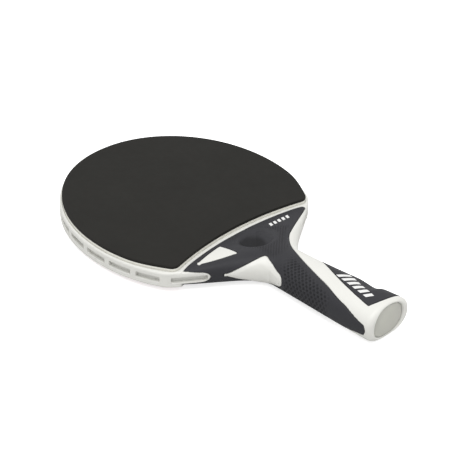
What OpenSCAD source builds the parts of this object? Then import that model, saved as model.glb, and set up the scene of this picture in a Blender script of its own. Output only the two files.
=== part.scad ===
// Table tennis paddle: a composite plate with a rubber sheet on each face,
// held in a moulded frame that also forms the rim, the neck and the handle.
// Origin: centre of the bounding box. +Y runs along the handle to the tip of
// the head, +Z leaves the front face, and z = 0 is the middle of the plate.

/* [Head] */
// Overall length, butt to tip
overall_length = 260; // [256:1:266]
// Width of the head across the rim
head_width = 154.4; // [152:0.2:158]
// Length of the ellipse that the head follows
head_length = 177; // [174:1:180]
// Width of the white rim outside the rubber
rim_width = 1.7; // [1.5:0.1:2.4]
// Height of the rim wall
rim_height = 11.3; // [10.9:0.1:11.7]
// Radius of the arch that ends the rubber at the neck
arch_radius = 212.6; // [190:0.2:240]
// Distance from the head's widest line down to the top of the arch
arch_drop = 44.75; // [43.5:0.05:45.5]

/* [Rubber] */
// Thickness of the front sponge
front_sponge_height = 2.1; // [1.6:0.1:2.3]
// Thickness of the front topsheet
front_topsheet_height = 2; // [1.6:0.1:2.2]
// Thickness of the rear sponge
rear_sponge_height = 0.9; // [0.7:0.1:1.2]
// Thickness of the rear topsheet
rear_topsheet_height = 1.2; // [1:0.1:1.5]
// Radius at the two corners where the rubber meets the arch
rubber_corner = 3.5; // [3:0.5:6]

/* [Plate] */
// Thickness of the composite plate
plate_thickness = 8.8; // [8.2:0.2:9]
// Width of the tang inside the handle
tang_width = 20; // [16:1:21]
// Thickness of the plate inside the neck and handle
tang_thickness = 2; // [1.6:0.1:2]
// How far the tang stops short of the butt
tang_to_butt = 24; // [18:1:60]

/* [Neck and handle] */
// Width of the handle at its waist
handle_width = 28.6; // [27:0.2:31]
// Thickness of the handle at its waist
handle_thickness = 23.5; // [22.5:0.5:26]
// Thickness of the handle at the butt
butt_thickness = 25; // [24.8:0.2:27]
// How much further the right flank stands out at the butt than at the waist
butt_flare = 9.3; // [8.5:0.1:10]
// Distance from the head's widest line down to the waist
waist_drop = 89.9; // [88:0.1:92]

/* [Grip] */
// Thickness of the soft grip over the moulding
grip_depth = 1.6; // [1.2:0.1:1.7]
// Width of the white ridge left between the arch and the grip
ridge_width = 2.9; // [2.4:0.1:3.5]
// Diameter of the thumb dimple
dimple_width = 25.6; // [23:0.2:26]
// Depth of the thumb dimple at its end towards the handle
dimple_depth = 7.1; // [5.5:0.1:7.1]

/* [Rim slots] */
// Number of slots on each side of the head
slots_per_side = 9; // [5:1:9]
// Height of a slot
slot_height = 3.2; // [2.4:0.1:3.4]
// Share of the slot spacing that is open
slot_share = 0.8; // [0.5:0.05:0.85]

/* [Butt] */
// Width of the clear lens in the butt
lens_width = 25.6; // [23:0.2:26]
// Height of the clear lens in the butt
lens_height = 21; // [18:0.5:21]
// Thickness of the lens
lens_thickness = 2.6; // [2:0.1:3.5]
// Thickness of the badge plate behind the lens
badge_thickness = 1.2; // [0.8:0.1:2]
// Depth of the lens face inside the collar
lens_recess = 1.3; // [0.8:0.1:1.6]

/* [Hidden] */

smooth = 116;                     // segments of a large curve
side = 28;                        // points around one handle section
fit = 0.05;                       // clearance between parts that nest
tip_y = overall_length / 2;
butt_y = -overall_length / 2;
head_a = head_width / 2;
head_b = head_length / 2;
head_y = tip_y - head_b;          // the head's widest line
rubber_a = head_a - rim_width;
rubber_b = head_b - rim_width;
tip_power = 2.05;                 // exponent of the head's outline at the tip, 2 is an ellipse
rubber_narrowing = 0.021;         // share of its width that the rubber loses near the neck
rim_mid = -0.75;                  // height of the rim wall's middle line
plate_z = plate_thickness / 2;
plate_inset = 1.5;                // ledge of the rim under the rubber's edge
arch_y = head_y - arch_drop - arch_radius;  // centre of the arch
waist_y = head_y - waist_drop;
waist_a = handle_width / 2;
waist_z = handle_thickness / 2;
butt_z = butt_thickness / 2;
neck_top_y = head_y - 47.5;       // where the neck leaves the ellipse
neck_z = 5.1;                     // half thickness of the neck at its top
butt_shift = butt_flare / 2;      // sideways shift of the butt's centre
flare_length = waist_y - butt_y;
tab_z = 3.7;                      // half height of the tab at the rim's left end
tab_mid = -0.2;                   // height of the tab's middle line
tab_y = -24.1;                    // end of that tab
slot_z = -0.6;                    // height of the slots' middle line
butt_round = 1.2;                 // rounding of the butt's edge
rubber_gap = 0.45;                // gap between the rubber and the rim
slot_start = 3.5;                 // angle of the first slot from the tip
slot_pitch = 120.6 / slots_per_side;
slot_depth = 2.4;                 // leaves a thin bottom in front of the plate
seam = 0.4;                       // gap between the rubber's arch edge and the neck moulding
dimple_x = 2.3;                   // centre of the thumb dimples
dimple_y = -20.8;
dimple_slope = 5.2;               // slope of the dimple's floor towards the arch, in degrees
dimple_lean = 26;                 // slope of the floor's lower right part, in degrees

// ---- curves -------------------------------------------------------------

// Point at t on a cubic Bezier curve
function bez(p, t) = pow(1 - t, 3) * p[0] + 3 * pow(1 - t, 2) * t * p[1]
    + 3 * (1 - t) * t * t * p[2] + t * t * t * p[3];

// Points of a cubic Bezier curve, without its last point
function curve(p, n = 10) = [for (i = [0:n - 1]) bez(p, i / n)];

// Smooth step from 0 to 1
function ease(t) = let (u = max(0, min(1, t))) u * u * (3 - 2 * u);

function sgn_pow(v, e) = sign(v) * pow(abs(v), e);

// Half width of the head's outer ellipse at y
function head_half(y) = head_a * sqrt(max(0, 1 - pow((y - head_y) / head_b, 2)));

// The neck's flank, from the ellipse down to the waist
head_slope = pow(head_a / head_b, 2) * (head_y - neck_top_y) / head_half(neck_top_y);
neck_flank = [
    [head_half(neck_top_y), neck_top_y],
    [head_half(neck_top_y) - 9.25 * head_slope, neck_top_y - 9.25],
    [18.6, -34.5],
    [waist_a, waist_y]];

// How far the right flank and the butt's centre have moved at y below the waist
function flare(y) = pow(max(0, (waist_y - y) / flare_length), 1.5);

// Half thickness of the neck and handle at y
function half_z(y) = y > waist_y
    ? neck_z + (waist_z - neck_z) * ease((neck_top_y + 3 - y) / (neck_top_y + 3 - waist_y))
    : waist_z + (butt_z - waist_z) * ease((waist_y - y) / flare_length);

// Exponent of the section: near 7 is a plate with round edges, 2.2 a soft oval
function section_power(y) = y > waist_y
    ? 2.2 + 5.4 * ease((y + 39) / 39)
    : 2.2 + 0.1 * ease((waist_y - y) / flare_length);

// Station of the handle at y, pulled in by inset
function handle_station(y, inset) = [y, butt_shift * flare(y),
    waist_a + butt_flare / 2 * flare(y) - inset, half_z(y) - inset];

// Half width of the neck at y, close to its flank curve
function flank_x(y) = let (t = (neck_top_y - y) / (neck_top_y - waist_y)) bez(neck_flank, t)[0];

// Stations of the loft: [y, centre x, half width, half thickness]
head_stations = [for (y = [neck_top_y + 16:-4:neck_top_y + 4]) [y, 0, head_half(y), half_z(y)]];
neck_stations = [for (i = [0:10]) let (p = bez(neck_flank, i / 10)) [p[1], 0, p[0], half_z(p[1])]];
handle_stations = [for (i = [1:8]) handle_station(waist_y - i * (flare_length - butt_round) / 8, 0)];
stations = concat(head_stations, neck_stations, handle_stations, [handle_station(butt_y, butt_round)]);

// ---- shared shapes ------------------------------------------------------

// Height of the loft's front surface above z = 0
function surface_z(x, y) = let (n = section_power(y), w = flank_x(y))
    half_z(y) * pow(max(0, 1 - pow(abs(x) / w, n)), 1 / n);

// Points around one section of the loft, pulled in by inset
function section(s, inset) = let (e = 2 / section_power(s[0]))
    [for (i = [0:side - 1]) let (a = 360 * (i + 0.5) / side)
        [s[1] + (s[2] - inset) * sgn_pow(cos(a), e), s[0], (s[3] - inset) * sgn_pow(sin(a), e)]];

// The neck and handle as one solid, pulled in by inset on every side but the ends
module handle_solid(inset = 0) {
    rows = len(stations);
    points = [for (s = stations) each section(s, inset)];
    walls = [for (r = [0:rows - 2], i = [0:side - 1]) let (j = (i + 1) % side, p = r * side)
        each [[p + j, p + i, p + side + i], [p + side + j, p + j, p + side + i]]];
    first_end = [for (i = [0:side - 1]) i];
    last_end = [for (i = [side - 1:-1:0]) (rows - 1) * side + i];
    polyhedron(points, concat(walls, [first_end, last_end]));
}

// The neck and handle with the thumb dimples pressed in
module handle_body(inset = 0) {
    difference() {
        handle_solid(inset);
        dimples(inset);
    }
}

// The head's outline with half axes a and b: an ellipse, a little fuller at the
// tip, and narrowed by a share of its width where it nears the neck
module ellipse(a, b, narrowing = 0) {
    polygon([for (i = [0:smooth - 1])
        let (t = 360 * i / smooth, e = t < 180 ? 2 / tip_power : 1, y = head_y + b * sgn_pow(sin(t), e))
            [a * sgn_pow(cos(t), e) * (1 - narrowing * ease((18 - y) / 26)), y]]);
}

// Everything on the handle side of the arch, moved down by drop
module below_arch(drop = 0) {
    translate([0, arch_y])
        circle(arch_radius - drop, $fn = 4 * smooth);
}

// Outline of a rubber sheet, grown by extra
module rubber_outline(extra = 0) {
    offset(delta = extra) offset(rubber_corner) offset(delta = -rubber_corner)
        difference() {
            ellipse(rubber_a, rubber_b, rubber_narrowing);
            below_arch();
        }
}

// Outline of the neck between its flanks, pulled in by inset
module neck_outline(inset = 0) {
    flank = [for (i = [0:16]) bez(neck_flank, i / 16)];
    polygon(concat([for (p = flank) [p[0] - inset, p[1]]],
                   [for (i = [16:-1:0]) [inset - flank[i][0], flank[i][1]]]));
}

// Thick part of the plate under the rubbers, grown by extra
module plate_head(extra = 0) {
    linear_extrude(plate_thickness + 2 * extra, center = true)
        rubber_outline(extra - plate_inset);
}

// Thinner part of the plate in the neck and the handle, grown by extra
module plate_tang(extra = 0) {
    end = butt_y + tang_to_butt - extra;
    linear_extrude(tang_thickness + 2 * extra, center = true)
        union() {
            intersection() {
                neck_outline(7 - extra);
                below_arch(-2 * plate_inset);
            }
            translate([-tang_width / 2 - extra, end])
                square([tang_width + 2 * extra, neck_top_y - end]);
        }
}

// A slab that reaches above and below the whole paddle
module through() {
    linear_extrude(80, center = true) children();
}

// ---- outlines of the soft parts ----------------------------------------

// The grip seen from the front: across the arch, down the right boundary to a
// point on the left flank, and past the outside of the left flank
grip_right = concat(
    curve([[54, -14.4], [43, -20.5], [30, -26.5], [20.5, -32.2]]),
    curve([[20.5, -32.2], [13, -37.5], [7.8, -45], [4.7, -52]]),
    curve([[4.7, -52], [0.5, -61], [-4, -76], [-6.1, -86.6]]),
    curve([[-6.1, -86.6], [-8, -94], [-9, -100], [-9.4, -108]]),
    [[-9.4, -128], [-90, -128], [-90, 10], [54, 10]]);

module grip_outline() {
    intersection() {
        polygon(grip_right);
        below_arch(ridge_width);
    }
}

// White window near the rim's left end, a leaf with one blunt end
module leaf_window() {
    offset(1.2) offset(delta = -1.2)
        polygon(concat(
            curve([[-44.6, -15], [-38, -13.2], [-29, -10.7], [-19.4, -9.8]]),
            curve([[-19.4, -9.8], [-18.2, -15], [-18.4, -21], [-19.2, -25.6]]),
            curve([[-19.2, -25.6], [-27, -23.2], [-37, -19.6], [-44.6, -15]])));
}

// White window on the left flank, a kite seen from the side as [z, y]
module flank_window() {
    upper = concat(
        curve([[0, -28.2], [1.6, -31.8], [6, -36], [8.6, -39]], 8),
        curve([[8.6, -39], [9.8, -40.4], [9.7, -42], [9, -44]], 5),
        curve([[9, -44], [7.4, -48.4], [5.6, -52], [4.8, -55.4]], 6),
        curve([[4.8, -55.4], [4.2, -57.6], [2.4, -58.9], [0, -58.9]], 5));
    offset(1.1) offset(delta = -1.1)
        polygon(concat(upper, [[0, -58.9]],
                       [for (i = [len(upper) - 1:-1:1]) [-upper[i][0], upper[i][1]]]));
}

// The grip's tongue towards the butt on the left flank, seen from the side as [z, y]
module grip_tongue() {
    upper = concat(
        curve([[16, -84], [10, -96], [9, -102], [7.9, -108]]),
        curve([[7.9, -108], [6.2, -114], [4.4, -119], [3, -127.7]]));
    polygon(concat([[16, 20]], upper, [[0, -127.9]],
                   [for (i = [len(upper) - 1:-1:0]) [-upper[i][0], upper[i][1]]], [[-16, 20]]));
}

// A slab across the left flank with a profile given as [z, y]
module flank_slab() {
    rotate([0, -90, 0]) linear_extrude(100) children();
}

// The dark panel on the right flank
module panel_outline() {
    offset(0.8) offset(delta = -0.8)
        polygon(concat(
            curve([[14.6, -63], [6, -77], [-1, -95], [-5.2, -121]]),
            curve([[-5.2, -121], [0, -123.4], [6, -125], [14, -125.3]]),
            [[60, -125.4], [60, -63]]));
}

// The part of the rim's left end that shows through the grip as a rounded tab
module rim_tab() {
    translate([-100, tab_y + tab_z, tab_mid]) {
        rotate([0, 90, 0]) cylinder(r = tab_z, h = 98 - waist_a, $fn = 32);
        translate([0, 0, -tab_z]) cube([98 - waist_a, 60, 2 * tab_z]);
    }
}

// Space that the grip takes in the moulding
module grip_space(gap = 0) {
    difference() {
        intersection() {
            through() difference() {
                offset(delta = gap) grip_outline();
                offset(delta = -gap) leaf_window();
            }
            union() {
                translate([0, -40, -40]) cube([90, 60, 80]);
                translate([-20, -100, -40]) cube([90, 80, 80]);
                flank_slab() offset(delta = gap) grip_tongue();
            }
        }
        flank_slab() offset(delta = -gap) flank_window();
        handle_body(grip_depth + gap);
        rim_tab();
    }
}

// Space that the side panel takes in the moulding
module panel_space(gap = 0) {
    difference() {
        through() offset(delta = gap) panel_outline();
        handle_solid(grip_depth + gap);
    }
}

// Thumb dimples on the front and the back of the neck, grown by extra: a round
// pit, steep at its left edge, whose floor rises to the arch and to the lower right
module dimples(extra = 0) {
    for (m = [0, 1])
        mirror([0, 0, m]) difference() {
            translate([dimple_x, dimple_y, 0])
                cylinder(d = dimple_width + 2 * extra, h = 30, $fn = 80);
            dimple_bed(dimple_x, dimple_slope, 0, extra);
            dimple_bed(dimple_x - 8, 0, dimple_lean, extra);
        }
}

// Block below the dimple's floor: rising towards the arch, or leaning to the lower right
module dimple_bed(x, rise, lean, extra) {
    end = dimple_y - dimple_width / 2;
    translate([x, end, half_z(end) - dimple_depth - extra])
        rotate([rise, 0, 0]) rotate([0, 0, -45]) rotate([0, -lean, 0])
            translate([-60, -60, -60]) cube([120, 120, 60]);
}

// The round-cornered opening at the butt, from y = from to y = to
module butt_opening(w, h, from, to) {
    translate([butt_shift, to, 0]) rotate([90, 0, 0])
        linear_extrude(to - from)
            polygon([for (i = [0:71]) [w / 2 * sgn_pow(cos(5 * i), 0.83), h / 2 * sgn_pow(sin(5 * i), 0.83)]]);
}

// ---- sub-parts ----------------------------------------------------------

// Stiff composite plate: fills the rim, carries the rubbers and runs into the handle
module core_plate() {
    color("dimgray") {
        plate_head();
        plate_tang();
    }
}

// Sheet of a given thickness on one face, from height z0 outwards; up is 1 or -1
module sheet(up, z0, thickness, inset) {
    translate([0, 0, up > 0 ? z0 : -z0 - thickness])
        linear_extrude(thickness) rubber_outline(-inset);
}

module front_sponge() {
    color("wheat") sheet(1, plate_z, front_sponge_height, 0.3);
}

module front_rubber() {
    color([0.2, 0.2, 0.19]) sheet(1, plate_z + front_sponge_height, front_topsheet_height, 0);
}

module rear_sponge() {
    color("wheat") sheet(-1, plate_z, rear_sponge_height, 0.3);
}

module rear_rubber() {
    color("firebrick") sheet(-1, plate_z + rear_sponge_height, rear_topsheet_height, 0);
}

// Rim around the head, with a soft outer edge, down to the arch's two ends
module rim() {
    soft = 1;
    difference() {
        intersection() {
            translate([0, 0, rim_mid]) hull() {
                linear_extrude(rim_height - 2 * soft, center = true) ellipse(head_a, head_b);
                linear_extrude(rim_height, center = true) ellipse(head_a - soft, head_b - soft);
            }
            through() union() {
                translate([-head_a, neck_top_y]) square([head_width, head_length]);
                neck_outline();
            }
        }
        for (m = [0, 1])
            mirror([0, 0, m]) translate([0, 0, plate_z])
                linear_extrude(20) rubber_outline(rubber_gap);
        through() below_arch(ridge_width);
    }
}

// Slots near mid height, mirrored left and right: evenly around the head, and one
// in each end of the rim beside the neck
module rim_slots() {
    for (m = [0, 1])
        mirror([m, 0, 0]) {
            for (i = [0:slots_per_side - 1])
                slot([for (t = [0, slot_share]) head_point(slot_start + (i + t) * slot_pitch)]);
            slot([[61.2, -10.3, -54.9], [42.9, -23.2, -54.9]]);
        }
}

// Point on the head's outline at angle t from the tip, and the wall's direction there
function head_point(t) = let (e = t < 90 ? 2 / tip_power : 1)
    [head_a * sgn_pow(sin(t), e), head_y + head_b * sgn_pow(cos(t), e),
     atan2(head_a * cos(t), head_b * sin(t))];

// One slot with round ends between two [x, y, direction] points, slot_depth deep
module slot(ends) {
    hull()
        for (p = ends)
            translate([p[0], p[1], slot_z]) rotate([0, 90, p[2]]) translate([0, 0, -slot_depth])
                cylinder(d = slot_height, h = slot_depth + 4, $fn = 12);
}

// White moulding: rim, neck and handle, hollowed for the plate and the soft parts
module frame() {
    color("whitesmoke") difference() {
        union() {
            rim();
            intersection() {
                handle_body();
                through() below_arch(seam);
            }
        }
        rim_slots();
        plate_head(fit);
        plate_tang(fit);
        grip_space(fit);
        panel_space(fit);
        butt_opening(lens_width, lens_height, butt_y - 1, butt_y + lens_recess + lens_thickness);
        butt_opening(lens_width - 3, lens_height - 3, butt_y, butt_y + lens_recess + lens_thickness + badge_thickness);
    }
}

// Soft grip over the neck and handle, wrapped around the left flank
module grip() {
    color([0.27, 0.27, 0.29]) difference() {
        intersection() {
            handle_body();
            grip_space();
        }
        grip_grooves();
    }
}

// Shallow grooves slanting across the neck, on the front and the back
module grip_grooves() {
    r = 0.55;
    for (s = [-1, 1], i = [0:8]) {
        x = -14 + 3.2 * i;
        y = -31 - 1.1 * i;
        hull()
            for (p = [[x, y], [x + 4, y + 4]])
                translate([p[0], p[1], s * (surface_z(p[0], p[1]) + 0.1)]) sphere(r, $fn = 12);
    }
}

// Soft panel wrapped around the right flank at the butt
module side_panel() {
    color([0.27, 0.27, 0.29]) intersection() {
        handle_solid();
        panel_space();
    }
}

// Embossed plate behind the lens
module butt_badge() {
    front = butt_y + lens_recess + lens_thickness;
    color("silver") butt_opening(lens_width - 3 - 2 * fit, lens_height - 3 - 2 * fit,
                                 front, front + badge_thickness);
}

// Clear lens set into the collar
module butt_lens() {
    color([0.8, 0.82, 0.78]) butt_opening(lens_width - 2 * fit, lens_height - 2 * fit,
                                          butt_y + lens_recess, butt_y + lens_recess + lens_thickness);
}

core_plate();
frame();
front_sponge();
front_rubber();
rear_sponge();
rear_rubber();
grip();
side_panel();
butt_badge();
butt_lens();
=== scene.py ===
"""Looks of the table tennis paddle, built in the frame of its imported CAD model.

The moulding, the grip and the side panel are closed surfaces of distance fields:
each field is a few rounded unions and cuts of simple shapes, and surface_net()
turns it into a quad mesh whose points lie exactly on the surface.
The sheets, the badge and the lens are swept outlines.
Lengths inside the shape functions are millimetres; meshes are made in metres.
"""
import bpy
import math
import numpy as np
from mathutils import Matrix, Vector


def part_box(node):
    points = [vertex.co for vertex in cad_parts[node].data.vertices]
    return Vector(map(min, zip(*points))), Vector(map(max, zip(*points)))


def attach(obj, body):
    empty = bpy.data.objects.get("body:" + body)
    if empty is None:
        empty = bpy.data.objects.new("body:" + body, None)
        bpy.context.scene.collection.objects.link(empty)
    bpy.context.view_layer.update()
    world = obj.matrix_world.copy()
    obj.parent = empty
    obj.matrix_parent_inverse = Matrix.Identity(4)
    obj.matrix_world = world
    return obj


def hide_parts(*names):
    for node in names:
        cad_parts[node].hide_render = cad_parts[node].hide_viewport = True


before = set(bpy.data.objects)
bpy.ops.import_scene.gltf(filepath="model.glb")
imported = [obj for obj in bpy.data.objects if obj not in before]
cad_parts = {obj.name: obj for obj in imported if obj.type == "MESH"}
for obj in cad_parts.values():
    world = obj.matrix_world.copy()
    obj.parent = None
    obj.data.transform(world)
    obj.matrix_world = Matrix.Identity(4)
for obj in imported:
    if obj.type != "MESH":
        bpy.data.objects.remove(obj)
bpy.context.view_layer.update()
MM = 0.001


# ---------------------------------------------------------------- dimensions

def box_mm(node):
    """Lowest and highest corner of a CAD node in millimetres."""
    low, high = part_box(node)
    return np.array(low) / MM, np.array(high) / MM


FRAME_LOW, FRAME_HIGH = box_mm("frame")
RUBBER_HIGH = box_mm("front_rubber")[1]
SPONGE_LOW = box_mm("front_sponge")[0]
REAR_LOW = box_mm("rear_rubber")[0]
BADGE_LOW, BADGE_HIGH = box_mm("butt_badge")
LENS_LOW, LENS_HIGH = box_mm("butt_lens")

TIP, BUTT = FRAME_HIGH[1], FRAME_LOW[1]
HEAD_A, HEAD_B = FRAME_HIGH[0], 88.5       # half axes of the head's ellipse
HEAD_Y = TIP - HEAD_B                      # the head's widest line
RIM = HEAD_A - RUBBER_HIGH[0]              # rim outside the rubber
RIM_MID, RIM_HALF = -0.75, 5.65            # middle and half height of the rim wall
RIM_ROUND = 1.5                            # rounding of the rim's outer edges
RUBBER_A, RUBBER_B = HEAD_A - RIM, HEAD_B - RIM
RUBBER_CORNER = 3.5
ARCH_R = 212.6                             # arch that ends the rubber
ARCH_Y = HEAD_Y - 44.75 - ARCH_R           # its centre
NECK_TOP = HEAD_Y - 47.5                   # where the neck leaves the ellipse
NECK_LEAD = 9.25                           # how long its flank follows the ellipse's slope
WAIST_Y = HEAD_Y - 89.9
WAIST_A, WAIST_Z = 14.3, 11.75             # half width and half thickness there
NECK_Z, BUTT_Z = 5.1, 12.5                 # half thickness at the neck's top and the butt
BUTT_FLARE = 9.3                           # how far the right flank moves out
FLARE_LENGTH = WAIST_Y - BUTT
BUTT_X = 4.65                              # sideways shift of the butt's centre
GRIP_DEPTH = 1.55                          # how deep the soft parts are set in
NOTCH_DEPTH, NOTCH_SINK = 1.5, 0.7          # finger notch, and the share its seat sinks
RIDGE = 2.85                               # white ridge between arch and grip
PLATE_Z = SPONGE_LOW[2]
PLATE_INSET = 1.5                          # ledge of the rim under the rubber's edge
TANG_Z, TANG_HALF, TANG_TO_BUTT = 1.0, 10.0, 23.9
FIT = 0.05                                 # clearance around what is set into the moulding
TAB_Z, TAB_Y = 3.7, -24.1                  # white tab at the rim's left end
DIMPLE = (2.3, -20.8, 12.8)                # x, y and radius
DIMPLE_FLOOR, DIMPLE_SLOPE = 3.0, 0.091    # floor's low end and its rise towards the arch
SLOT_FIRST, SLOT_PITCH, SLOT_OPEN = 3.5, 13.4, 10.72   # degrees
SLOT_COUNT, SLOT_HALF, SLOT_ROUND, SLOT_DEPTH, SLOT_Z = 9, 1.8, 0.7, 2.6, -0.6
TAB_SLOT = ((61.2, -10.3), (42.6, -23.4))  # ends of the slot beside the neck
SLOT_WALL = 0.5                            # white wall left between a slot and the grip
TIP_POWER = 2.05                           # slightly fuller than an ellipse at the tip
OVAL_POWER = 2.41                          # 2 is an ellipse
GAP = 0.12                                 # half the seam between two mouldings


# ------------------------------------------------------------- field algebra

def cut(a, b, r=0.0):
    """Overlap of two fields, with its edge rounded to radius r."""
    if r == 0.0:
        return np.maximum(a, b)
    u, v = np.maximum(a + r, 0), np.maximum(b + r, 0)
    return np.minimum(np.maximum(a, b), -r) + np.hypot(u, v)


def join(a, b, r=0.0):
    """Union of two fields, with its crease filled to radius r."""
    return -cut(-a, -b, r)


def bezier(p, t):
    """Points at t on a cubic Bezier curve."""
    p, t = np.asarray(p, float), np.asarray(t, float)[:, None]
    s = 1 - t
    return s ** 3 * p[0] + 3 * s ** 2 * t * p[1] + 3 * s * t ** 2 * p[2] + t ** 3 * p[3]


def ease(t):
    u = np.clip(t, 0, 1)
    return u * u * (3 - 2 * u)


def ellipse(x, y, a, b):
    """Distance to the head-shaped ellipse with half axes a and b."""
    y = y - HEAD_Y
    n = np.where(y > 0, TIP_POWER, 2.0)
    u, w = np.abs(x) / a, np.abs(y) / b
    f = (u ** n + w ** n) ** (1 / n) + 1e-6
    return (f - 1) / np.sqrt(((u / f) ** (n - 1) / a) ** 2 + ((w / f) ** (n - 1) / b) ** 2 + 1e-12)


def beyond_arch(x, y, drop=0.0):
    """Distance to the region on the handle's side of the arch, moved down by drop."""
    return np.hypot(x, y - ARCH_Y) - (ARCH_R - drop)


class Outline:
    """Distance to a closed polygon in the XY plane, sampled on a fine grid."""
    STEP = 0.3

    def __init__(self, points, rounding=0.0):
        p = inset(np.asarray(points, float), rounding)
        self.low = np.array([-90.0, BUTT - 10])
        nx, ny = int(180 / self.STEP), int((20 - self.low[1]) / self.STEP)
        gx, gy = np.meshgrid(self.low[0] + self.STEP * np.arange(nx),
                             self.low[1] + self.STEP * np.arange(ny), indexing="ij")
        self.grid = polygon_distance(gx.ravel(), gy.ravel(), p).reshape(nx, ny) - rounding

    def __call__(self, x, y):
        u = np.clip((x - self.low[0]) / self.STEP, 0, self.grid.shape[0] - 1.001)
        v = np.clip((y - self.low[1]) / self.STEP, 0, self.grid.shape[1] - 1.001)
        i, j = u.astype(int), v.astype(int)
        u, v = u - i, v - j
        g = self.grid
        return ((g[i, j] * (1 - u) + g[i + 1, j] * u) * (1 - v)
                + (g[i, j + 1] * (1 - u) + g[i + 1, j + 1] * u) * v)


def polygon_distance(x, y, p):
    """Signed distance from points to a closed polygon, negative inside."""
    best = np.full(x.shape, 1e9)
    inside = np.zeros(x.shape, bool)
    for (ax, ay), (bx, by) in zip(p, np.roll(p, -1, 0)):
        ex, ey = bx - ax, by - ay
        t = np.clip(((x - ax) * ex + (y - ay) * ey) / (ex * ex + ey * ey + 1e-12), 0, 1)
        best = np.minimum(best, (x - ax - t * ex) ** 2 + (y - ay - t * ey) ** 2)
        crosses = (ay > y) != (by > y)
        inside ^= crosses & (x < ex * (y - ay) / (ey if abs(ey) > 1e-12 else 1e-12) + ax)
    return np.where(inside, -1, 1) * np.sqrt(best)


def inset(p, r):
    """The polygon with every edge moved inward by r."""
    if r == 0.0:
        return p
    area = np.sum(p[:, 0] * np.roll(p[:, 1], -1) - np.roll(p[:, 0], -1) * p[:, 1])
    e = np.roll(p, -1, 0) - p
    e /= np.linalg.norm(e, axis=1)[:, None] + 1e-12
    n = np.sign(area) * np.c_[-e[:, 1], e[:, 0]]
    m = n + np.roll(n, 1, 0)
    m /= np.maximum((m * n).sum(1), 0.25)[:, None]
    return p + r * m


# ------------------------------------------------------------ handle and neck

def head_half(y):
    return HEAD_A * np.sqrt(np.maximum(0, 1 - ((y - HEAD_Y) / HEAD_B) ** 2))


def handle_tables():
    """Half width, half thickness, centre and section power of the loft along y."""
    top = float(head_half(NECK_TOP))
    slope = (HEAD_A / HEAD_B) ** 2 * (HEAD_Y - NECK_TOP) / top
    leaving = (top - NECK_LEAD * slope, NECK_TOP - NECK_LEAD)
    flank = bezier([(top, NECK_TOP), leaving, (18.6, -34.5), (WAIST_A, WAIST_Y)], np.linspace(0, 1, 400))
    y = np.linspace(BUTT - 6, 30, 1400)
    flare = (np.maximum(0, WAIST_Y - y) / FLARE_LENGTH) ** 1.5
    neck = np.interp(y, flank[::-1, 1], flank[::-1, 0])
    handle = np.where(y > WAIST_Y, neck, WAIST_A + BUTT_FLARE / 2 * flare)
    half = np.where(y > NECK_TOP, head_half(y), handle)
    start = NECK_TOP + 3
    down = ease((WAIST_Y - y) / FLARE_LENGTH)
    thick = np.where(y > WAIST_Y,
                     NECK_Z + (WAIST_Z - NECK_Z) * ease((start - y) / (start - WAIST_Y)),
                     WAIST_Z + (BUTT_Z - WAIST_Z) * down)
    power = np.where(y > WAIST_Y, 2.2 + 5.4 * ease((y + 39) / 39), 2.2 + 0.1 * down)
    table = {"y": y, "a": half, "b": thick, "x": BUTT_X * flare, "n": power}
    for k in "abx":
        table["d" + k] = np.gradient(table[k], y)
    return table


LOFT = handle_tables()


def loft(x, y, z):
    """Distance to the neck and handle, without the thumb dimples."""
    get = lambda k: np.interp(y, LOFT["y"], LOFT[k])
    a, b, n = get("a"), get("b"), get("n")
    dx = x - get("x")
    u, w = np.abs(dx) / a, np.abs(z) / b
    f = (u ** n + w ** n) ** (1 / n) + 1e-4
    gx, gz = (u / f) ** (n - 1) / a, (w / f) ** (n - 1) / b
    gy = gx * u * get("da") + gz * w * get("db") + np.sign(dx) * gx * get("dx")
    return (f - 1) / np.sqrt(gx ** 2 + gy ** 2 + gz ** 2)


def body(x, y, z):
    """Distance to the neck and handle with the thumb dimples and the rounded butt."""
    dimple_x, dimple_y, r = DIMPLE
    lower_right = (x - y - dimple_x + dimple_y) / 2 ** 0.5
    bed = DIMPLE_FLOOR + DIMPLE_SLOPE * (y - dimple_y + r) + 0.5 * np.maximum(lower_right + 0.5, 0)
    dimple = cut(np.hypot(x - dimple_x, y - dimple_y) - r, bed - np.abs(z), 4.5)
    return cut(cut(loft(x, y, z), -dimple, 0.7), BUTT - y, 3.9)


# ------------------------------------------------- outlines of the soft parts

def curve(*p):
    return bezier(p, np.linspace(0, 1, 14)[:-1])


def mirrored(half):
    """Closed outline from its right half, which starts and ends on the middle line."""
    half = np.asarray(half, float)
    return np.vstack([half, half[-2:0:-1] * [-1, 1]])


GRIP_EDGE = Outline(np.vstack([
    curve((53.4, -14.8), (43, -20.7), (30, -26.5), (20.5, -32.2)),
    curve((20.5, -32.2), (13, -37.5), (7.8, -45), (4.7, -52)),
    curve((4.7, -52), (0.5, -61), (-4, -76), (-6.1, -86.6)),
    curve((-6.1, -86.6), (-8, -94), (-9, -100), (-9.4, -108)),
    [(-9.4, -128), (-88, -128), (-88, 10), (53.4, 10)]]))
LEAF = Outline(np.vstack([
    curve((-44.6, -15), (-38, -13.2), (-29, -10.7), (-19.4, -9.8)),
    curve((-19.4, -9.8), (-18.2, -15), (-18.4, -21), (-19.2, -25.6)),
    curve((-19.2, -25.6), (-27, -23.2), (-37, -19.6), (-44.6, -15))]), 1.2)
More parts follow.
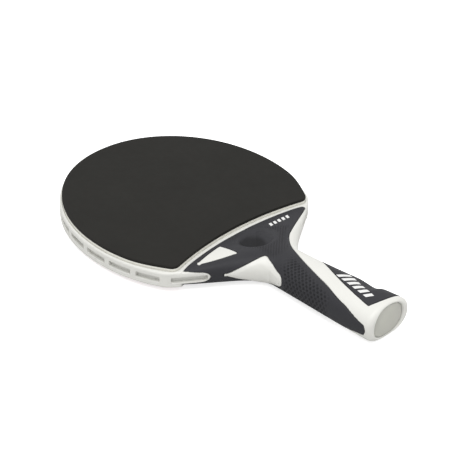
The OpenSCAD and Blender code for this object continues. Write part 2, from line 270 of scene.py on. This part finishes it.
# seen from the side, as (z, y)
WINDOW = Outline(mirrored(np.vstack([
    curve((0, -28.2), (1.6, -31.8), (6, -36), (8.6, -39)),
    curve((8.6, -39), (9.8, -40.4), (9.7, -42), (9, -44)),
    curve((9, -44), (7.4, -48.4), (5.6, -52), (4.8, -55.4)),
    curve((4.8, -55.4), (4.2, -57.6), (2.4, -58.9), (0, -58.9)),
    [(0, -58.9)]])), 0.8)
TONGUE = Outline(mirrored(np.vstack([
    [(0, 20), (16, 20)], curve((16, -84), (10, -96), (9, -102), (7.9, -108)),
    curve((7.9, -108), (6.2, -114), (4.4, -119), (3, -127.7)), [(0, -127.9)]])), 1.5)
PANEL = Outline(np.vstack([
    curve((14.6, -63), (6, -77), (-1, -95), (-5.2, -121)),
    curve((-5.2, -121), (0, -123.4), (6, -125), (14, -125.3)),
    [(60, -125.4), (60, -63)]]), 0.7)


def grip_region(x, y, z):
    """Negative where the surface belongs to the grip."""
    d = cut(GRIP_EDGE(x, y), beyond_arch(x, y, RIDGE), 1.8)
    d = cut(d, -LEAF(x, y), 0.5)
    d = cut(d, np.where(x < 4, TONGUE(z, y), -50.0), 3)
    d = cut(d, -window(x, y, z), 0.5)
    end = TAB_Y + TAB_Z
    top, bottom = 3.5 + 0.2 * np.clip(y - end, 0, 5), -3.9
    tab = np.hypot(np.maximum(end - y, 0), z - (top + bottom) / 2) - (top - bottom) / 2
    d = cut(d, -cut(tab, x + 30), 0.7)
    return cut(d, SLOT_WALL - slots(x, y, z))


def window(x, y, z):
    """Distance to the window on the left flank."""
    return np.where(x < -3, WINDOW(z, y), 50.0)


def notch(x, y):
    """Depth of the finger notch on the side panel's outer side near the butt."""
    return NOTCH_DEPTH * ease((-95 - y) / 14) * ease((y + 115) / 6) * ease((x - 3) / 9)


def soft_shell(x, y, z, region, relief=0.0, sink=0.0):
    """A soft skin over the moulding wherever region is negative, with rounded lips."""
    d = body(x, y, z)
    skin = cut(d - 0.1 + relief, region + GAP, 0.45)
    return cut(skin, -(d + GRIP_DEPTH + sink))


# ------------------------------------------------------------------ the fields

def rubber_outline(x, y):
    narrowing = 1.4 * ease((18 - y) / 26)
    return cut(ellipse(x, y, RUBBER_A, RUBBER_B) + narrowing, -beyond_arch(x, y), RUBBER_CORNER)


def head_outline(x, y):
    """The rim's outer wall: the ellipse, and the neck's flank below it."""
    a, slope = np.interp(y, LOFT["y"], LOFT["a"]), np.interp(y, LOFT["y"], LOFT["da"])
    flank = (np.abs(x) - a) / np.sqrt(1 + slope ** 2)
    return np.where(y > NECK_TOP, ellipse(x, y, HEAD_A, HEAD_B), flank)


def slot_shape(along, half, z):
    """Rectangle with rounded corners, half long either way."""
    u, w = along - half + SLOT_ROUND, np.abs(z - SLOT_Z) - SLOT_HALF + SLOT_ROUND
    return np.hypot(np.maximum(u, 0), np.maximum(w, 0)) + np.minimum(np.maximum(u, w), 0) - SLOT_ROUND


def slots(x, y, z):
    """Slots around the rim, and one in each end of the rim by the neck."""
    t = np.degrees(np.arctan2(np.abs(x) / HEAD_A, (y - HEAD_Y) / HEAD_B))
    k = np.clip(np.floor((t - SLOT_FIRST + (SLOT_PITCH - SLOT_OPEN) / 2) / SLOT_PITCH), 0, SLOT_COUNT - 1)
    middle = np.radians(SLOT_FIRST + SLOT_OPEN / 2 + k * SLOT_PITCH)
    mm_per_rad = np.hypot(HEAD_A * np.cos(middle), HEAD_B * np.sin(middle))
    from_middle = np.abs(np.radians(t) - middle) * mm_per_rad
    ring = slot_shape(from_middle, np.radians(SLOT_OPEN) / 2 * mm_per_rad, z)
    (x0, y0), (x1, y1) = TAB_SLOT
    length = math.hypot(x1 - x0, y1 - y0)
    s = ((np.abs(x) - x0) * (x1 - x0) + (y - y0) * (y1 - y0)) / length
    beside = np.where(np.abs(x) > 35, slot_shape(np.abs(s - length / 2), length / 2, z), 9.0)
    depth = -(head_outline(x, y) + SLOT_DEPTH)
    return np.maximum(np.where(y > -5, ring, beside), depth)


def butt_oval(x, z, half_width, half_height):
    """Distance to the soft-cornered oval in the butt face."""
    n = OVAL_POWER
    u, w = np.abs(x - BUTT_X) / half_width, np.abs(z) / half_height
    f = (u ** n + w ** n) ** (1 / n) + 1e-4
    g = np.hypot((u / f) ** (n - 1) / half_width, (w / f) ** (n - 1) / half_height)
    return (f - 1) / g


LENS_HALF = (LENS_HIGH - LENS_LOW)[[0, 2]] / 2
BADGE_HALF = (BADGE_HIGH - BADGE_LOW)[[0, 2]] / 2


def moulding_field(x, y, z):
    """White moulding: rim, neck, handle and butt collar."""
    skin = body(x, y, z)
    proud = 0.45 * ease(-window(x, y, z) / 3)
    neck = cut(skin - proud, beyond_arch(x, y, 0.4), 0.7)
    for region, sink in ((grip_region(x, y, z), 0.0), (PANEL(x, y), NOTCH_SINK * notch(x, y))):
        neck = cut(neck, -np.maximum(region - GAP, -(skin + GRIP_DEPTH + sink + FIT)), 0.35)
    rim = cut(head_outline(x, y), np.abs(z - RIM_MID) - RIM_HALF, RIM_ROUND)
    rim = cut(rim, -np.maximum(rubber_outline(x, y) - 0.15, PLATE_Z - np.abs(z)), 0.25)
    rim = cut(rim, -beyond_arch(x, y, RIDGE), 0.3)
    d = join(neck, rim, 0.5)
    d = cut(d, -slots(x, y, z), 0.4)
    d = cut(d, -np.maximum(rubber_outline(x, y) + PLATE_INSET - FIT, np.abs(z) - PLATE_Z - FIT))
    flank = np.abs(x) - np.interp(y, LOFT["y"], LOFT["a"]) + 7
    tongue = np.maximum(flank, beyond_arch(x, y, -2 * PLATE_INSET))
    tang = np.where(y > WAIST_Y + 5, tongue, np.abs(x) - TANG_HALF - FIT)
    d = cut(d, -np.maximum(np.maximum(tang, np.abs(z) - TANG_Z - FIT), BUTT + TANG_TO_BUTT - y))
    lens = np.maximum(butt_oval(x, z, *(LENS_HALF + FIT)), y - LENS_HIGH[1])
    badge = np.maximum(butt_oval(x, z, *(BADGE_HALF + FIT)), y - BADGE_HIGH[1])
    return cut(cut(d, -lens, 1.5), -badge)


def grip_relief(x, y, z):
    """Fine ribs across the neck and staggered rows of small pits down the handle."""
    dimple_x, dimple_y, w = DIMPLE
    ribs = 0.5 + 0.5 * np.cos(2 * np.pi * (0.67 * x - 0.74 * y) / 1.66)
    on_neck = ease((y + 50) / 6) * ease((3 - x - y) / 4) * ease((x + 12) / 6)
    edge = GRIP_EDGE(x, y)
    outside = np.hypot(x - dimple_x, y - dimple_y) - w
    on_neck = on_neck * ease((outside - 0.3) / 2) * ease((-1.5 - edge) / 2)
    around = 12.5 * np.arctan2(z, x - np.interp(y, LOFT["y"], LOFT["x"]))
    row = np.round(around / 1.7)
    u = y / 3.0 + 0.5 * (row % 2)
    pit = np.hypot((u - np.round(u)) * 3.0, around - row * 1.7)
    on_handle = ease((-52 - y) / 8) * ease((y + 100) / 8) * ease((-2.0 - edge) / 3)
    on_handle = on_handle * ease((window(x, y, z) - 1.5) / 2)
    return 0.34 * ribs * on_neck + 0.45 * ease((1.0 - pit) / 0.5) * on_handle


def shade(x, y, z):
    """How much painted shade darkens the grip in its grooves and pits and on the dimples' floor."""
    dimple_x, dimple_y, r = DIMPLE
    u, w = x - dimple_x, y - dimple_y
    along, across = (u + w) / 2 ** 0.5 + r, (u - w) / 2 ** 0.5
    width = np.where(across > 0, 7.5, 13.0) - 0.5 * np.maximum(along - 9, 0)
    deep = ease((22 - along) / 10) * ease((width - np.abs(across)) / 4) * (np.hypot(u, w) < r + 0.2)
    return np.clip(1.4 * grip_relief(x, y, z) + 1.2 * deep, 0, 1)


def grip_field(x, y, z):
    return soft_shell(x, y, z, grip_region(x, y, z), grip_relief(x, y, z))


def panel_field(x, y, z):
    """The side panel, with the finger notch and its seat sunk below the notch."""
    return soft_shell(x, y, z, PANEL(x, y), notch(x, y), NOTCH_SINK * notch(x, y))


# -------------------------------------------------------------------- meshing

def surface_net(field, low, high, step):
    """Quads over the zero surface of field, with points and normals taken from it."""
    axes = [np.arange(lo - step, hi + 2 * step, step) for lo, hi in zip(low, high)]
    shape = tuple(len(a) for a in axes)
    v = np.empty(shape, np.float32)
    for j in range(0, shape[1], 24):
        v[:, j:j + 24] = field(*np.meshgrid(axes[0], axes[1][j:j + 24], axes[2], indexing="ij"))
    inside = v < 0
    corners = [(i, j, k) for i in (0, 1) for j in (0, 1) for k in (0, 1)]
    part = lambda a, c: a[tuple(slice(o, n - 1 + o) for o, n in zip(c, shape))]
    count = sum(part(inside, c).astype(np.int8) for c in corners)
    mixed = (count > 0) & (count < 8)
    cell = np.full(mixed.shape, -1, np.int64)
    cell[mixed] = np.arange(mixed.sum())
    where = np.argwhere(mixed)

    total, weight = np.zeros((len(where), 3)), np.zeros(len(where))
    for c in corners:
        for axis in range(3):
            if c[axis]:
                continue
            c2 = tuple(o + (m == axis) for m, o in enumerate(c))
            va = v[tuple((where + c).T)].astype(float)
            vb = v[tuple((where + c2).T)].astype(float)
            hit = (va < 0) != (vb < 0)
            t = np.where(hit, va / np.where(hit, va - vb, 1), 0)
            point = where + np.array(c) + np.eye(3)[axis] * t[:, None]
            total += point * hit[:, None]
            weight += hit
    points = total / weight[:, None] * step + [a[0] for a in axes]

    for _ in range(3):
        g = gradient(field, points)
        size = (g ** 2).sum(1)
        shift = field(*points.T)[:, None] * g / np.maximum(size, 1e-6)[:, None]
        points -= np.clip(shift, -step / 2, step / 2)
    normals = gradient(field, points)
    normals /= np.linalg.norm(normals, axis=1)[:, None] + 1e-9

    quads = []
    for axis in range(3):
        b, c = [m for m in range(3) if m != axis]
        first = inside[tuple(slice(1 if m != axis else 0, -1) for m in range(3))]
        second = inside[tuple(slice(1, -1) if m != axis else slice(1, None) for m in range(3))]
        at = np.argwhere(first != second)
        flip = first[first != second]
        at[:, [b, c]] += 1
        ring = []
        for ob, oc in ((0, 0), (1, 0), (1, 1), (0, 1)):
            q = at.copy()
            q[:, b] -= ob
            q[:, c] -= oc
            ring.append(cell[tuple(q.T)])
        ring = np.stack(ring, 1)
        if axis == 1:
            flip = ~flip
        ring[~flip] = ring[~flip][:, ::-1]
        quads.append(ring)
    return points, np.vstack(quads), normals


def gradient(field, p, e=0.04):
    out = np.empty_like(p)
    for m in range(3):
        o = np.eye(3)[m] * e
        out[:, m] = (field(*(p + o).T) - field(*(p - o).T)) / (2 * e)
    return out


def mesh_object(name, points, faces, normals=None):
    """A mesh object from points in millimetres."""
    me = bpy.data.meshes.new(name)
    me.from_pydata((np.asarray(points) * MM).tolist(), [], [list(map(int, f)) for f in faces])
    me.validate()
    me.polygons.foreach_set("use_smooth", [True] * len(me.polygons))
    if normals is not None and len(me.vertices) == len(normals):
        me.normals_split_custom_set_from_vertices([tuple(n) for n in normals])
    me.update()
    ob = bpy.data.objects.new(name, me)
    bpy.context.scene.collection.objects.link(ob)
    return ob


def field_object(name, field, low, high, step):
    return mesh_object(name, *surface_net(field, low, high, step))


# ------------------------------------------------------------- swept outlines

def trace(field2d, count=480):
    """Closed outline where field2d(x, y) is zero, seen from the head's centre."""
    t = np.linspace(0, 2 * np.pi, count, endpoint=False)
    d = np.c_[np.sin(t), np.cos(t)]
    low, high = np.zeros(count), np.full(count, 120.0)
    for _ in range(40):
        mid = (low + high) / 2
        out = field2d(d[:, 0] * mid, HEAD_Y + d[:, 1] * mid) > 0
        low, high = np.where(out, low, mid), np.where(out, mid, high)
    return d * low[:, None] + [0, HEAD_Y]


def sheet_object(name, field2d, z0, z1, rounding, grow=0.0):
    """A flat sheet between z0 and z1 whose outer edges are rounded."""
    rings = []
    steps = 5
    for edge, sign in ((z0, -1), (z1, 1)):
        turn = range(steps + 1) if sign < 0 else range(steps, -1, -1)
        for i in turn:
            a = i / steps * np.pi / 2
            offset = rounding * (1 - math.sin(a))
            z = edge - sign * rounding * (1 - math.cos(a))
            outline = trace(lambda x, y, o=offset: field2d(x, y) + o - grow)
            rings.append(np.c_[outline, np.full(len(outline), z)])
    n = len(rings[0])
    centre = np.array([0, HEAD_Y])
    for ring_end, z in ((rings[0], z0), (rings[-1], z1)):
        for share in (0.985, 0.9, 0.75, 0.55, 0.35, 0.15):
            inner = centre + (ring_end[:, :2] - centre) * share
            ring = np.c_[inner, np.full(n, z)]
            if z == z0:
                rings.insert(0, ring)
            else:
                rings.append(ring)
    points = np.vstack(rings + [[[*centre, z0]], [[*centre, z1]]])
    faces = []
    for r in range(len(rings) - 1):
        for i in range(n):
            j = (i + 1) % n
            faces.append((r * n + i, r * n + j, (r + 1) * n + j, (r + 1) * n + i))
    bottom, top = len(points) - 2, len(points) - 1
    last = (len(rings) - 1) * n
    for i in range(n):
        j = (i + 1) % n
        faces.append((bottom, j, i))
        faces.append((top, last + i, last + j))
    return mesh_object(name, points, faces)


def oval_object(name, half_width, half_height, y_front, y_back, rounding, height, columns=180):
    """A plate filling the butt's oval; height(u, w) lifts its front face, in millimetres."""
    t = np.linspace(0, 2 * np.pi, columns, endpoint=False)
    e = 2 / OVAL_POWER
    c, s = np.cos(t), np.sin(t)
    unit = np.c_[np.sign(c) * np.abs(c) ** e, np.sign(s) * np.abs(s) ** e]
    rows = []
    shares = np.sin(np.linspace(0.02, 1, 46) * np.pi / 2)
    for s in shares:
        q = unit * s
        edge = min((1 - s) * half_height / rounding, 1)
        drop = rounding * (1 - math.sqrt(max(0, 1 - (1 - edge) ** 2)))
        lift = height(q[:, 0] * half_width, q[:, 1] * half_height) * (edge == 1)
        rows.append(np.c_[BUTT_X + q[:, 0] * half_width, y_front + drop - lift, q[:, 1] * half_height])
    rows.append(np.c_[rows[-1][:, 0], np.full(columns, y_back), rows[-1][:, 2]])
    crown = y_front - float(height(np.zeros(1), np.zeros(1))[0])
    points = np.vstack(rows + [[[BUTT_X, crown, 0]], [[BUTT_X, y_back, 0]]])
    faces = []
    for r in range(len(rows) - 1):
        for i in range(columns):
            j = (i + 1) % columns
            faces.append((r * columns + i, (r + 1) * columns + i, (r + 1) * columns + j, r * columns + j))
    front, back = len(points) - 2, len(points) - 1
    last = (len(rows) - 1) * columns
    for i in range(columns):
        j = (i + 1) % columns
        faces.append((front, i, j))
        faces.append((back, last + j, last + i))
    return mesh_object(name, points, faces)


# ------------------------------------------------------------------- materials

class Nodes:
    """Short helper around one material's node tree."""

    def __init__(self, name):
        self.material = bpy.data.materials.new(name)
        self.material.use_nodes = True
        self.tree = self.material.node_tree
        self.shader = self.tree.nodes["Principled BSDF"]
        self.place = self.add("ShaderNodeTexCoord").outputs["Object"]

    def add(self, kind, **values):
        node = self.tree.nodes.new(kind)
        for k, v in values.items():
            if k in node.inputs:
                node.inputs[k].default_value = v
            else:
                setattr(node, k, v)
        return node

    def link(self, a, b):
        self.tree.links.new(a, b)

    def noise(self, scale, detail=4.0):
        node = self.add("ShaderNodeTexNoise", Scale=scale, Detail=detail, Roughness=0.5)
        self.link(self.place, node.inputs["Vector"])
        return node.outputs["Fac"]

    def cells(self, scale):
        node = self.add("ShaderNodeTexVoronoi", Scale=scale)
        self.link(self.place, node.inputs["Vector"])
        return node.outputs["Distance"]

    def ramp(self, value, low, high, a=0.0, b=1.0):
        node = self.add("ShaderNodeMapRange")
        node.inputs["From Min"].default_value = a
        node.inputs["From Max"].default_value = b
        node.inputs["To Min"].default_value = low
        node.inputs["To Max"].default_value = high
        self.link(value, node.inputs["Value"])
        return node.outputs["Result"]

    def mix(self, value, first, second):
        node = self.add("ShaderNodeMix", data_type="RGBA")
        node.inputs["A"].default_value = (*first, 1)
        node.inputs["B"].default_value = (*second, 1)
        self.link(value, node.inputs["Factor"])
        return node.outputs["Result"]

    def mix_in(self, value, first, second):
        """The colour socket first, turned into the colour second where value is 1."""
        result = self.mix(value, (0, 0, 0), second)
        self.link(first, result.node.inputs["A"])
        return result

    def math(self, operation, a, b=0.0):
        node = self.add("ShaderNodeMath", operation=operation)
        for socket, value in zip(node.inputs, (a, b)):
            if isinstance(value, bpy.types.NodeSocket):
                self.link(value, socket)
            else:
                socket.default_value = value
        return node.outputs[0]

    def bump(self, value, distance, strength=1.0, before=None):
        node = self.add("ShaderNodeBump", Strength=strength, Distance=distance)
        self.link(value, node.inputs["Height"])
        if before is not None:
            self.link(before, node.inputs["Normal"])
        return node.outputs["Normal"]

    def set(self, **sockets):
        for name, value in sockets.items():
            socket = self.shader.inputs[name.replace("_", " ")]
            if isinstance(value, bpy.types.NodeSocket):
                self.link(value, socket)
            else:
                socket.default_value = value
        return self.material


def satin_moulding():
    n = Nodes("white_moulding")
    tone = n.mix(n.noise(60, 5), (0.60, 0.597, 0.565), (0.64, 0.637, 0.605))
    grain = n.bump(n.noise(1800, 3), 0.00004, 0.6)
    return n.set(Base_Color=tone, Roughness=n.ramp(n.noise(240), 0.34, 0.5), Normal=grain)


def soft_elastomer():
    n = Nodes("soft_grip")
    tone = n.mix(n.noise(90, 6), (0.022, 0.022, 0.0255), (0.030, 0.030, 0.034))
    # painted shade: the grip's colour turns near black where the shade attribute is high, in its grooves,
    # pits and the dimples' floor
    painted_shade = n.add("ShaderNodeAttribute", attribute_name="shade").outputs["Fac"]
    tone = n.mix_in(n.ramp(painted_shade, 0.0, 0.8), tone, (0.004, 0.004, 0.005))
    tone = n.mix_in(printed_bars(n), tone, (0.66, 0.66, 0.65))
    fine = n.bump(n.noise(2600, 2), 0.00005, 0.8)
    return n.set(Base_Color=tone, Roughness=n.ramp(n.noise(320), 0.5, 0.68), Normal=fine,
                 Specular_IOR_Level=0.22)


# each row's two ends, the bars' width at either end, and how many bars
BAR_ROWS = (((20.0, -15.0), (37.6, -16.2), 3.6, 3.6, 5),
            ((7.4, -89.5), (0.9, -118.5), 8.4, 4.6, 6))
BAR_LEAN, BAR_SHARE = 0.35, 0.58


def printed_bars(n):
    """Two rows of plain slanted bars, on the neck and down the side panel, front only."""
    split = n.add("ShaderNodeSeparateXYZ")
    n.link(n.place, split.inputs[0])
    x, y, z = (n.math("MULTIPLY", split.outputs[k], 1000.0) for k in range(3))
    rows = []
    for (x0, y0), (x1, y1), width0, width1, bars in BAR_ROWS:
        length = math.hypot(x1 - x0, y1 - y0)
        ux, uy = (x1 - x0) / length, (y1 - y0) / length
        across = n.math("ADD", n.math("MULTIPLY", x, ux), n.math("MULTIPLY", y, uy))
        u = n.math("SUBTRACT", across, x0 * ux + y0 * uy)
        side = n.math("SUBTRACT", n.math("MULTIPLY", y, ux), n.math("MULTIPLY", x, uy))
        off_line = n.math("SUBTRACT", side, y0 * ux - x0 * uy)
        v = n.math("ABSOLUTE", off_line)
        half = n.ramp(u, width0 / 2, width1 / 2, 0.0, length)
        lean = n.math("MULTIPLY", off_line, BAR_LEAN)
        count = n.math("DIVIDE", n.math("SUBTRACT", u, lean), length / bars)
        inside = n.math("LESS_THAN", n.math("FRACT", count), BAR_SHARE)
        ends = (n.math("GREATER_THAN", count, 0.0), n.math("LESS_THAN", count, bars))
        for test in (*ends, n.math("LESS_THAN", v, half)):
            inside = n.math("MULTIPLY", inside, test)
        rows.append(inside)
    return n.math("MULTIPLY", n.math("ADD", *rows), n.math("GREATER_THAN", z, 0.0))


def topsheet(name, dark, light):
    n = Nodes(name)
    tone = n.mix(n.noise(35, 6), dark, light)
    dots = n.bump(n.ramp(n.cells(560), 1.0, 0.0, 0.1, 0.6), 0.00002, 0.35)
    fine = n.bump(n.noise(2200, 2), 0.00003, 0.4, dots)
    return n.set(Base_Color=tone, Roughness=n.ramp(n.noise(160), 0.5, 0.62), Normal=fine,
                 Specular_IOR_Level=0.1)


def foam():
    n = Nodes("sponge")
    pores = n.cells(1400)
    tone = n.mix(n.ramp(pores, 0, 1, 0.0, 0.7), (0.66, 0.65, 0.59), (0.76, 0.75, 0.69))
    return n.set(Base_Color=tone, Roughness=0.9, Normal=n.bump(pores, 0.0002, 0.8))


def laminate():
    n = Nodes("composite")
    layers = n.add("ShaderNodeTexWave", bands_direction="Z", Scale=600.0, Distortion=1.5)
    n.link(n.place, layers.inputs["Vector"])
    tone = n.mix(layers.outputs["Fac"], (0.10, 0.10, 0.10), (0.20, 0.20, 0.19))
    return n.set(Base_Color=tone, Roughness=0.6, Normal=n.bump(layers.outputs["Fac"], 0.0001, 0.5))


def embossed_metal():
    n = Nodes("badge")
    tone = n.mix(n.noise(500, 4), (0.62, 0.62, 0.57), (0.74, 0.74, 0.69))
    return n.set(Base_Color=tone, Metallic=0.25, Roughness=n.ramp(n.noise(900), 0.3, 0.5),
                 Normal=n.bump(n.noise(1500, 3), 0.00005, 0.5))


def clear_plastic():
    n = Nodes("clear_lens")
    return n.set(Base_Color=n.mix(n.noise(120), (0.79, 0.787, 0.73), (0.87, 0.867, 0.81)),
                 Transmission_Weight=0.6, IOR=1.3, Roughness=n.ramp(n.noise(300), 0.05, 0.1),
                 Normal=n.bump(n.noise(150), 0.0001, 0.1))


def paint(ob, material):
    ob.data.materials.clear()
    ob.data.materials.append(material)


# ---------------------------------------------------------------------- pieces

def place(ob, material, slot, *nodes):
    paint(ob, material)
    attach(ob, "root")
    if nodes:
        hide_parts(*nodes)
    return ob


WHITE, DARK = satin_moulding(), soft_elastomer()

moulding = field_object("moulding", moulding_field, FRAME_LOW, FRAME_HIGH, 0.45)
place(moulding, WHITE, "white_moulding", "frame")

grip_low, grip_high = box_mm("grip")
grip = field_object("grip_cover", grip_field, grip_low, grip_high, 0.38)
# painted shade: how dark each grip point is painted in its grooves, pits and dimple floor, kept as the
# shade attribute
where = np.empty(3 * len(grip.data.vertices))
grip.data.vertices.foreach_get("co", where)
shading = grip.data.attributes.new("shade", "FLOAT", "POINT")
shading.data.foreach_set("value", shade(*where.reshape(-1, 3).T / MM))
place(grip, DARK, "soft_grip", "grip")

panel_low, panel_high = box_mm("side_panel")
panel = field_object("flank_panel", panel_field, panel_low, panel_high, 0.38)
place(panel, DARK, "soft_grip", "side_panel")

BLACK = topsheet("black_topsheet", (0.0125, 0.012, 0.0105), (0.017, 0.0165, 0.0145))
RED = topsheet("red_topsheet", (0.30, 0.016, 0.015), (0.37, 0.022, 0.019))
FOAM = foam()
for side, colour, slot_name in ((1, BLACK, "black_topsheet"), (-1, RED, "red_topsheet")):
    label = "front" if side > 0 else "rear"
    low, high = box_mm(label + "_rubber")
    sheet = sheet_object(label + "_topsheet", rubber_outline, low[2], high[2], 0.3)
    place(sheet, colour, slot_name, label + "_rubber")
    low, high = box_mm(label + "_sponge")
    sponge = sheet_object(label + "_foam", rubber_outline, low[2], high[2], 0.1, -0.12)
    place(sponge, FOAM, "sponge", label + "_sponge")


def badge_relief(u, w):
    """Plain relief: an oval bead and slanted ribs inside it."""
    rho = np.hypot(u / BADGE_HALF[0], w / BADGE_HALF[1])
    bead = 0.35 * np.exp(-((rho - 0.78) / 0.05) ** 2)
    ribs = 0.28 * ease((np.cos((u + 0.8 * w) * 1.35) - 0.2) / 0.5) * ease((0.62 - rho) / 0.1)
    return bead + ribs


def lens_dome(u, w):
    rho = np.hypot(u / LENS_HALF[0], w / LENS_HALF[1])
    return 0.55 * np.maximum(0, 1 - rho ** 2)


badge = oval_object("embossed_badge", *BADGE_HALF, BADGE_LOW[1] + 0.3, BADGE_HIGH[1], 0.4, badge_relief)
place(badge, embossed_metal(), "badge", "butt_badge")
lens = oval_object("clear_lens", *LENS_HALF, LENS_LOW[1], LENS_HIGH[1] - 0.1, 0.9, lens_dome)
place(lens, clear_plastic(), "clear_lens", "butt_lens")

paint(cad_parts["core_plate"], laminate())


# ----------------------------------------------------------------------- stage

def rest_tilt():
    """Slope of the floor under the butt's lower edge and the rear rubber's far edge."""
    butt, head = (BUTT + 3, -BUTT_Z), (TIP - RIM - 1, REAR_LOW[2])
    slope = (head[1] - butt[1]) / (head[0] - butt[0])
    return slope, butt[1] - slope * butt[0]


def floor():
    slope, level = rest_tilt()
    size = 6.0
    me = bpy.data.meshes.new("floor")
    corners = [(x * size, y * size, (level - 0.05) * MM + slope * y * size)
               for x, y in ((-1, -1), (1, -1), (1, 1), (-1, 1))]
    me.from_pydata(corners, [], [(0, 1, 2, 3)])
    ob = bpy.data.objects.new("floor", me)
    bpy.context.scene.collection.objects.link(ob)
    n = Nodes("floor")
    seen = n.add("ShaderNodeLightPath").outputs["Is Camera Ray"]
    n.set(Base_Color=n.mix(n.noise(3), (0.65, 0.65, 0.646), (0.67, 0.67, 0.666)), Roughness=0.9,
          Emission_Color=(1, 1, 1, 1), Emission_Strength=n.math("MULTIPLY", seen, 0.7))
    facing = n.add("ShaderNodeNewGeometry").outputs["Backfacing"]
    clear, both = n.add("ShaderNodeBsdfTransparent"), n.add("ShaderNodeMixShader")
    output = n.tree.nodes["Material Output"]
    n.link(facing, both.inputs[0])
    n.link(n.shader.outputs[0], both.inputs[1])
    n.link(clear.outputs[0], both.inputs[2])
    n.link(both.outputs[0], output.inputs["Surface"])
    me.materials.append(n.material)


def area_light(name, place_m, size, power):
    data = bpy.data.lights.new(name, "AREA")
    data.shape, data.size, data.size_y, data.energy = "RECTANGLE", size[0], size[1], power
    ob = bpy.data.objects.new(name, data)
    ob.location = place_m
    ob.rotation_euler = (-Vector(place_m)).to_track_quat("-Z", "Y").to_euler()
    bpy.context.scene.collection.objects.link(ob)


def studio():
    world = bpy.data.worlds.new("studio")
    world.use_nodes = True
    world.node_tree.nodes["Background"].inputs["Color"].default_value = (1, 1, 0.995, 1)
    world.node_tree.nodes["Background"].inputs["Strength"].default_value = 0.88
    scene = bpy.context.scene
    scene.world = world
    scene.view_settings.view_transform = "Standard"
    area_light("key", (-0.35, -0.3, 1.85), (1.6, 1.6), 26)


FOCAL_RATIO = 3.43348                      # focal length over the picture's width
AZIMUTH, ELEVATION, ROLL = map(math.radians, (-44.945, 33.451, 1.0))
CAMERA_AT = (-601.2, -604.3, 565.1)        # millimetres


def camera():
    back = Vector((math.sin(AZIMUTH) * math.cos(ELEVATION), -math.cos(AZIMUTH) * math.cos(ELEVATION),
                   math.sin(ELEVATION)))
    right = Vector((math.cos(AZIMUTH), math.sin(AZIMUTH), 0))
    up = back.cross(right)
    c, s = math.cos(ROLL), math.sin(ROLL)
    right, up = right * c + up * s, up * c - right * s
    data = bpy.data.cameras.new("camera")
    data.sensor_width = 36
    data.lens = data.sensor_width * FOCAL_RATIO
    data.clip_start, data.clip_end = 0.01, 50
    ob = bpy.data.objects.new("camera", data)
    turn = Matrix((right, up, back)).transposed().to_4x4()
    ob.matrix_world = Matrix.Translation(Vector(CAMERA_AT) * MM) @ turn
    bpy.context.scene.collection.objects.link(ob)
    bpy.context.scene.camera = ob


floor()
studio()
camera()
